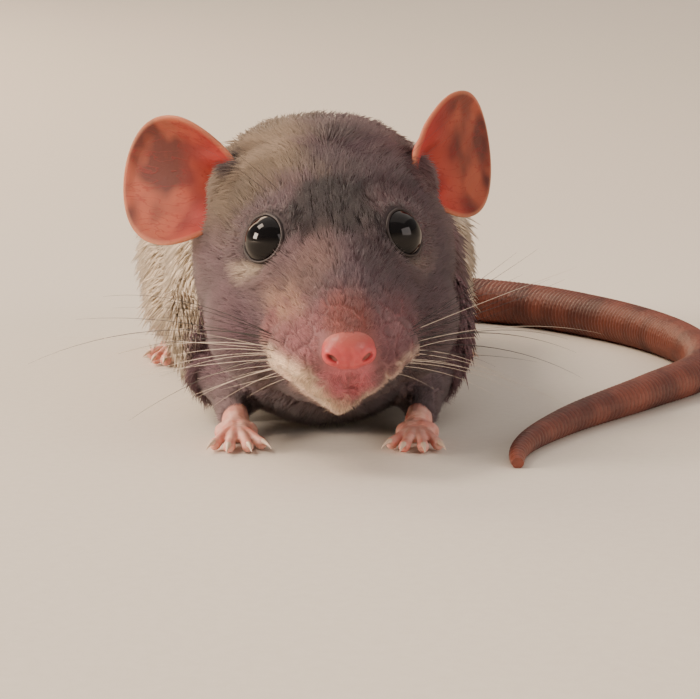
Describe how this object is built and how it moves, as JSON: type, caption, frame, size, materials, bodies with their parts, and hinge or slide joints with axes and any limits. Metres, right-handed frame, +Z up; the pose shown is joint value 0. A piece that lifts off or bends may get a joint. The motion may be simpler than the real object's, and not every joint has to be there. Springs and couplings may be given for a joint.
{
  "type": "pet rat",
  "caption": "Life-size still model of a young pet rat, crouched on the floor with its head up and its tail curled round one side.",
  "frame": {"origin": "middle of the bounding box at floor level", "axes": "-Y is where the rat looks, +Y is towards the tail, +X is the rat's left side, +Z is up"},
  "size_m": [0.0884, 0.143, 0.0401],
  "materials": {
    "coat_grey": "short soft fur, grey brown",
    "coat_white": "short soft fur, creamy white",
    "skin_pink": "bare pink skin of hands and feet",
    "ear_red": "thin, finely veined ear skin",
    "nose_red": "moist pink nose pad",
    "eye_black": "wet, glossy black",
    "tail_brown": "fine rings of scales with short bristles",
    "whisker": "smooth tapered hair",
    "claw": "smooth translucent horn"
  },
  "bodies": {
    "root": {"head": "coat_grey", "lower_jaw": "coat_grey", "neck": "coat_grey", "torso": "coat_white", "nose": "nose_red", "eye_left": "eye_black", "eye_right": "eye_black", "ear_left": "ear_red", "ear_right": "ear_red", "whisker_pad_left": "whisker", "whisker_pad_right": "whisker", "foreleg_left": "coat_grey", "foreleg_right": "coat_grey", "forepaw_left": "skin_pink", "forepaw_right": "skin_pink", "hindleg_left": "coat_white", "hindleg_right": "coat_white", "hindfoot_left": "skin_pink", "hindfoot_right": "skin_pink", "tail_1": "tail_brown", "tail_2": "tail_brown", "tail_3": "tail_brown", "tail_4": "tail_brown", "tail_5": "tail_brown", "tail_6": "tail_brown"}
  },
  "joints": []
}
